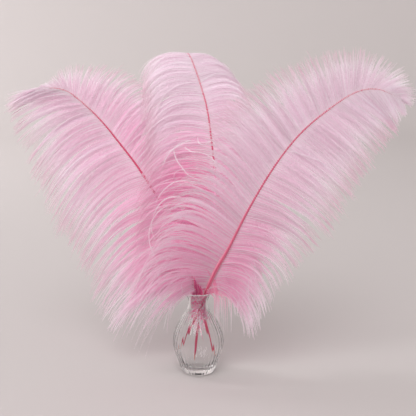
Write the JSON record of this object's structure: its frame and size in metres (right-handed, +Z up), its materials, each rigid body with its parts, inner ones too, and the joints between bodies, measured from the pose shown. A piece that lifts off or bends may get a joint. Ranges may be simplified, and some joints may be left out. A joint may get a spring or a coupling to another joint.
{
  "type": "ostrich feather",
  "caption": "Dyed ostrich plumes with arching shafts, long drooping barbs and curled tips, standing in a small fluted clear glass bud vase with a flat foot.",
  "frame": {"origin": "centre of the flat foot on which the vase stands", "axes": "+Z up, +X to the right and +Y to the back when the plumes are seen from the front"},
  "size_m": [0.5614, 0.2257, 0.4595],
  "materials": {
    "glass": "clear, polished",
    "plume": "soft pink barbs"
  },
  "bodies": {
    "root": {"vase": "glass", "right_feather": "plume", "middle_feather": "plume", "left_feather": "plume"}
  },
  "joints": []
}
